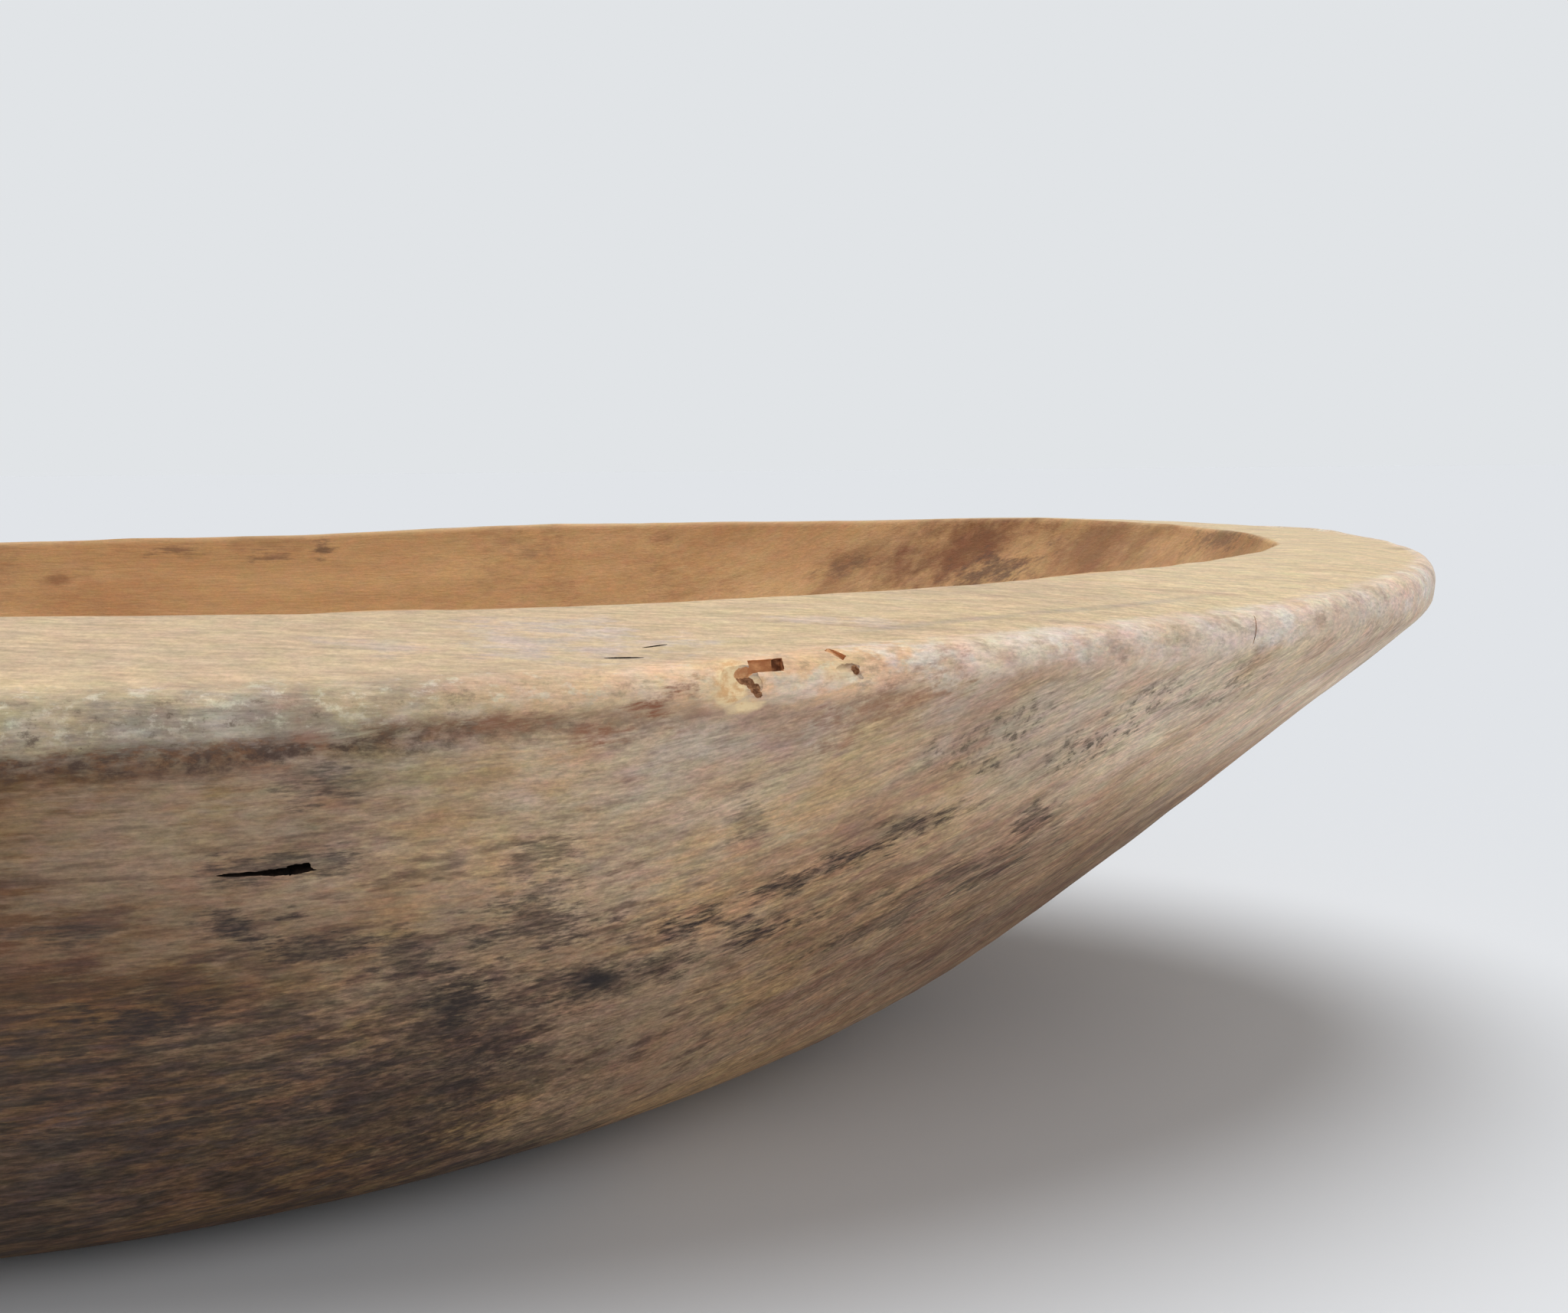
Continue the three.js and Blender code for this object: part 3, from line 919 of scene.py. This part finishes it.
def wall_dirt_and_shade(n, wall):
    """Darker over the middle and the lower wall, partly dirt and partly painted shade, with dark and reddish
    streaks along the grain.
    """
    # Painted shade mixed with dirt: the wall darkens over its middle, in a low belt and at its bottom
    middle = n.outward(135, 34, 0.0, 0.99)
    belt = n.times(n.upward(68, 46), n.upward(16, 36, 0.2, 1.0), n.outward(130, 85, 0.4, 0.22))
    low = n.times(n.outward(135, 92), n.upward(50, 30), 0.42)
    uneven = n.plus(0.72, n.times(n.patches(20, 80, 7.9, 0.32, 0.68, 0.8), 0.5))
    grime_and_shade = n.times(n.plus(middle, n.plus(belt, low)), uneven)
    grime_and_shade_tone = n.mix(n.upward(40, 62), tone(152, 143, 138), tone(141, 121, 104))
    wall = n.mix(n.math("MINIMUM", grime_and_shade, 1.0), wall, grime_and_shade_tone, "MULTIPLY")
    smudge = n.times(n.patches(36, 90, 12.2, 0.56, 0.7, 0.6), 0.45)
    wall = n.mix(smudge, wall, tone(112, 92, 84))
    streak = n.times(
        n.patches(9, 400, 15.4, 0.53, 0.68, 0.2),
        n.upward(90, 46, 0.35, 0.75),
        n.outward(160, 110, 0.65, 1.0),
    )
    wall = n.mix(streak, wall, tone(80, 58, 49))
    reddish = n.times(n.outward(130, 162), n.upward(74, 54), 0.55)
    wall = n.mix(n.times(n.patches(15, 210, 41.7, 0.46, 0.62, 0.5), reddish), wall, tone(112, 78, 62))
    sooty = n.times(n.outward(140, 100), n.upward(66, 42))
    wall = n.mix(n.times(n.patches(28, 400, 17.2, 0.44, 0.6, 0.6), sooty, 0.66), wall, tone(52, 45, 43))
    wall = n.mix(n.times(n.patches(14, 90, 19.6, 0.46, 0.62, 0.8), sooty, 0.5), wall, tone(58, 48, 45))
    hatch = n.plus(
        n.rise(n.flank["Fibres"], 0.3, 0.7, -0.3, 0.3),
        n.rise(n.flank["Ragged"], 0.32, 0.68, -0.26, 0.26),
    )
    hatched = n.math("MAXIMUM", sooty, n.times(n.outward(115, 150), n.upward(72, 56), 0.5))
    return n.mix(1.0, wall, n.grey(n.plus(1.0, n.times(hatched, hatch))), "MULTIPLY")


def wall_marks(n, wall):
    """The wall's stains, spots and specks that have their own place."""
    strokes = n.rise(n.flank["Fibres"], 0.36, 0.62, 1.0, 0.55)
    wall = n.mix(n.times(n.marks(DARK_STAINS, n.drawn, n.edge), strokes), wall, tone(58, 47, 44))
    wall = n.mix(n.marks(DARK_SPOTS, n.drawn, n.times(n.lumpy, 0.6)), wall, tone(50, 43, 42))
    dashes = n.rise(n.noise(n.place, (700, 850, 460), 3, 0.6), 0.47, 0.62, 0.14, 1.0)
    wall = n.mix(n.times(n.marks(SPECKLED, n.drawn, n.edge), dashes), wall, tone(100, 88, 73))
    return n.fibrous(wall, n.flank, 0.36, 1.0)


def lip_colour(n):
    """The lip: grey along the middle, peach and pale towards the ends, worn and mottled, with painted highlights
    on its worn spots.
    """
    lip = n.mix(n.outward(92, 132), tone(164, 149, 129), tone(248, 205, 164))
    lip = n.mix(n.outward(160, 190), lip, tone(240, 219, 202))
    dusty = n.times(n.patches(34, 48, 21.5, 0.46, 0.62, straight=True), 0.42)
    lip = n.mix(dusty, lip, tone(192, 180, 168))
    peach = n.times(
        n.patches(30, 50, 24.8, 0.42, 0.6, straight=True),
        n.outward(95, 130, 0.1, 0.6),
        n.outward(260, 180, 0.5, 1.0),
    )
    lip = n.mix(peach, lip, tone(216, 170, 134))
    cream = n.times(n.patches(40, 70, 27.3, 0.46, 0.58, straight=True), n.outward(140, 100, 0.2, 0.45))
    lip = n.mix(cream, lip, tone(214, 190, 146))
    # Whitish worn spots that are also painted highlights, more of them towards the ends
    wear = n.noise(n.place, (85, 130, 130), 4, 0.6)
    rubbed_and_highlit = n.times(n.rise(wear, 0.52, 0.64), n.plus(n.times(n.outward(130, 175), 0.55), 0.2))
    lip = n.mix(rubbed_and_highlit, lip, tone(238, 228, 216))
    handled = n.times(n.rise(wear, 0.46, 0.34), 0.5)
    lip = n.mix(handled, lip, tone(172, 142, 120))
    light = n.rise(n.mottle, 0.52, 0.66, 0.0, 0.6)
    lip = n.mix(light, lip, tone(232, 222, 198))
    dull = n.times(n.rise(n.mottle, 0.46, 0.32), n.outward(120, 90, 0.35, 0.85))
    lip = n.mix(dull, lip, tone(112, 95, 78))
    return n.fibrous(lip, n.level, 0.35, 0.7)


def step_dirt_and_shade(n, outside, under):
    """The broken line in the step under the lip, partly dirt and partly painted shade, and rusty stains round
    it.
    """
    off_line = n.math("ABSOLUTE", n.plus(under, n.sway(n.mottle, 7 * MM)))
    line = n.times(
        n.rise(off_line, 3.6 * MM, 0.4 * MM),
        n.outward(170, 90),
        n.patches(40, 40, 31.0, 0.28, 0.46, 0.8, straight=True),
        n.rise(n.noise(n.place, (380, 620, 620), 4, 0.7), 0.36, 0.56, 0.5, 1.0),
        0.88,
    )
    # The line's dark tones stand for dirt and painted shade in the step together
    dirt = n.mix(n.rise(n.mottle, 0.42, 0.66), tone(72, 50, 41), tone(130, 88, 58))
    outside = n.mix(line, outside, dirt)
    flecks = n.rise(n.mottle, 0.4, 0.62, 0.25, 1.0)
    return n.mix(n.times(n.marks(RUST_STAINS, n.drawn, n.edge), flecks), outside, tone(146, 92, 66))


def rim_colour(n):
    """Top of the rim: pale, with faint lines along the grain, stains and a trail of dirt."""
    bands = n.patches(4, 65, 38.0, 0.38, 0.62, 0.1, straight=True)
    rim = n.mix(bands, tone(217, 192, 155), tone(207, 182, 150))
    rim = n.mix(n.outward(185, 235), rim, tone(221, 198, 162))
    lines = n.times(n.patches(9, 330, 39.0, 0.58, 0.7, 0.2, straight=True), 0.45)
    rim = n.mix(lines, rim, tone(164, 140, 120))
    rim = n.mix(n.marks(RIM_STAINS, n.place, n.edge, lying=True), rim, tone(210, 193, 184))
    along = n.math("POWER", n.math("DIVIDE", n.parts["X"], HALF_LENGTH), 2.0)
    across = n.math("POWER", n.math("DIVIDE", n.parts["Y"], HALF_WIDTH), 2.0)
    ring = n.math("SQRT", n.plus(along, across))
    trail = n.times(
        n.rise(n.math("ABSOLUTE", n.math("SUBTRACT", ring, TRAIL_RING)), *TRAIL_FADES),
        n.outward(150, 172),
        n.outward(240, 205),
        n.rise(n.level["Ragged"], 0.34, 0.6, 0.3, 1.0),
        0.45,
    )
    return n.fibrous(n.mix(trail, rim, tone(150, 140, 136)), n.level, 0.22, 0.8)


def hollow_colour(n):
    """The warm inside, with rusty and dark stains along its upper wall, and painted shade in the end towards +X.
    """
    bands = n.patches(4, 65, 48.0, 0.36, 0.64, 0.2)
    inside = n.mix(bands, tone(224, 184, 135), tone(206, 165, 119))
    brown = n.times(n.patches(22, 40, 51.0, 0.52, 0.66, 0.4), 0.4)
    inside = n.mix(brown, inside, tone(146, 110, 82))
    amber = n.times(n.patches(14, 26, 54.0, 0.5, 0.66), 0.45)
    inside = n.mix(amber, inside, tone(186, 136, 94))
    # Rusty stains, and painted shade in the end towards +X
    rust_and_shade = n.marks(HOLLOW_RUST_AND_SHADE, n.drawn, n.sway(n.flank["Lumps"], 2.0))
    inside = n.mix(rust_and_shade, inside, tone(140, 97, 68))
    inside = n.mix(n.marks(HOLLOW_STAINS, n.drawn, n.edge), inside, tone(118, 92, 76))
    return n.fibrous(inside, n.flank, 0.3, 0.45)


def aged_wood(sweep, grain, patch, stain):
    """Bare old wood: pale on the rim, mottled on the lip, stained along the grain outside, warm inside."""
    material, shader = new_material("aged_wood")
    n = AgedWood(material.node_tree, sweep, grain, patch, stain)
    wall = wall_marks(n, wall_dirt_and_shade(n, clean_wall(n)))
    under = n.noted("under_step")
    lip_edge = n.plus(under, n.sway(n.mottle, 8 * MM))
    outside = n.mix(n.rise(lip_edge, 2 * MM, -2.5 * MM), wall, lip_colour(n))
    outside = step_dirt_and_shade(n, outside, under)
    rim_edge = n.plus(n.noted("below"), n.sway(n.mottle, 5 * MM))
    colour = n.mix(n.rise(rim_edge, 1.5 * MM, -2 * MM), outside, rim_colour(n))
    torn = n.mix(n.rise(n.mottle, 0.38, 0.56), tone(230, 184, 132), tone(252, 224, 176))
    colour = n.mix(n.marks(PALE_TEARS, n.drawn, n.lumpy), colour, torn)
    colour = n.mix(n.noted("hollow"), colour, hollow_colour(n))

    n.feed(shader["Base Color"], colour)
    n.feed(shader["Roughness"], n.rise(n.level["Fibres"], 0.3, 0.7, *AGED_ROUGHNESS))
    n.feed(shader["Specular IOR Level"], AGED_SHEEN)
    relief = n.plus(n.level["Fibres"], n.times(n.level["Grit"], 0.5))
    n.feed(shader["Normal"], n.bump(relief, *AGED_RELIEF))
    return material


def bare_wood(name, grain, light, deep, crumbs):
    """Wood inside a tear or a crack, from a light to a deep tone, with so many crumbs per metre."""
    material, shader = new_material(name)
    n = Nodes(material.node_tree)
    place = n.add("ShaderNodeTexCoord", out="Object")
    ragged = n.group(grain, {"Vector": place})["Ragged"]
    grit = n.noise(place, (crumbs / 2, crumbs, crumbs), 4, 0.65)
    shade = n.plus(n.times(grit, 0.7), n.times(ragged, 0.3))
    n.feed(shader["Base Color"], n.mix(n.rise(shade, 0.4, 0.62), deep, light))
    n.feed(shader["Roughness"], n.rise(grit, 0.3, 0.7, *BARE_ROUGHNESS))
    n.feed(shader["Specular IOR Level"], BARE_SHEEN)
    n.feed(shader["Normal"], n.bump(grit, *BARE_RELIEF))
    return material


# Camera, light and floor, with angles in radians
IMAGE_WIDTH = 2048
FOCAL_PIXELS = 1946.6
SENSOR_WIDTH = 36
NEAREST_SEEN = 0.01
CAMERA_AT = Vector((143.4, -324.5, 124.9)) * MM
YAW, PITCH, ROLL = 0.0416, 0.1321, 0.0073
LAMP_AT = (0, 0, 2)
LAMP_TILT = (math.radians(-5), math.radians(-9), 0)
LAMP_LEVEL = 2.1
LAMP_BREADTH = math.radians(46)
OPENING = Vector((0.6, -0.75, 0.2))
OPENING_FADES = (-0.1, 1.0)
ROOM_LEVEL, OPENING_LEVEL = 0.1, 0.78
TABLE_SIZE = 30


def set_camera():
    """The camera close to the front wall, looking along it towards the right end."""
    ahead = Vector((math.sin(YAW) * math.cos(PITCH), math.cos(YAW) * math.cos(PITCH), -math.sin(PITCH)))
    level = Vector((math.cos(YAW), -math.sin(YAW), 0))
    down = ahead.cross(level)
    right = level * math.cos(ROLL) + down * math.sin(ROLL)
    up = level * math.sin(ROLL) - down * math.cos(ROLL)
    bpy.ops.object.camera_add()
    camera = bpy.context.object
    camera.data.sensor_fit = "HORIZONTAL"
    camera.data.sensor_width = SENSOR_WIDTH
    camera.data.lens = SENSOR_WIDTH * FOCAL_PIXELS / IMAGE_WIDTH
    camera.data.clip_start = NEAREST_SEEN
    place = Matrix((right, up, -ahead)).transposed().to_4x4()
    place.translation = CAMERA_AT
    camera.matrix_world = place
    bpy.context.scene.camera = camera


def set_light():
    """One broad soft lamp overhead and a dim room with a wide pale opening low down to the front and right."""
    bpy.ops.object.light_add(type="SUN", location=LAMP_AT, rotation=LAMP_TILT)
    lamp = bpy.context.object
    lamp.data.energy = LAMP_LEVEL
    lamp.data.angle = LAMP_BREADTH
    world = bpy.data.worlds.new("room")
    bpy.context.scene.world = world
    world.use_nodes = True
    n = Nodes(world.node_tree)
    towards = n.add("ShaderNodeTexCoord", out="Generated")
    inputs = {0: towards, 1: OPENING.normalized()}
    facing = n.add("ShaderNodeVectorMath", inputs, out="Value", operation="DOT_PRODUCT")
    glow = n.rise(facing, *OPENING_FADES, ROOM_LEVEL, OPENING_LEVEL)
    rays = n.add("ShaderNodeLightPath").node.outputs
    mirrored = n.math("MAXIMUM", rays["Is Glossy Ray"], rays["Is Transmission Ray"])
    seen = n.math("MAXIMUM", rays["Is Camera Ray"], mirrored)
    back = world.node_tree.nodes["Background"].inputs
    n.feed(back["Color"], n.mix(seen, n.grey(glow), tone(225, 228, 231)))


def set_floor():
    """A wide pale table top under the bowl."""
    bpy.ops.object.select_all(action="DESELECT")
    bpy.ops.mesh.primitive_plane_add(size=TABLE_SIZE)
    floor = bpy.context.object
    floor.name = "floor"
    material, shader = new_material("pale_table")
    shader["Base Color"].default_value = tone(228, 231, 235)
    shader["Roughness"].default_value = 1.0
    shader["Specular IOR Level"].default_value = 0.0
    floor.data.materials.append(material)


bpy.context.scene.view_settings.view_transform = "Standard"
set_camera()
set_light()
set_floor()
grain_nodes = grain_group()
FINISHES = {
    "bed": bare_wood("tear_bed", grain_nodes, tone(240, 192, 142), tone(204, 148, 104), 700),
    "dark_bed": bare_wood("deep_tear", grain_nodes, tone(212, 160, 118), tone(130, 88, 62), 1300),
    # Near-black: painted shade for the insides of the check and the rim cracks
    "dark": bare_wood("check_wall", grain_nodes, tone(52, 38, 30), tone(24, 18, 15), 700),
    "worn": aged_wood(sweep_group(), grain_nodes, patch_group(), stain_group()),
}

carved_bowl = carve_block()
hew(carved_bowl)
carved_bowl.data.materials.append(FINISHES["worn"])
damage(carved_bowl, FINISHES)
make_active(carved_bowl)
bpy.ops.object.shade_smooth_by_angle(angle=SMOOTH_BELOW)
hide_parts("bowl")
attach(carved_bowl, "root")

bpy.context.view_layer.update()
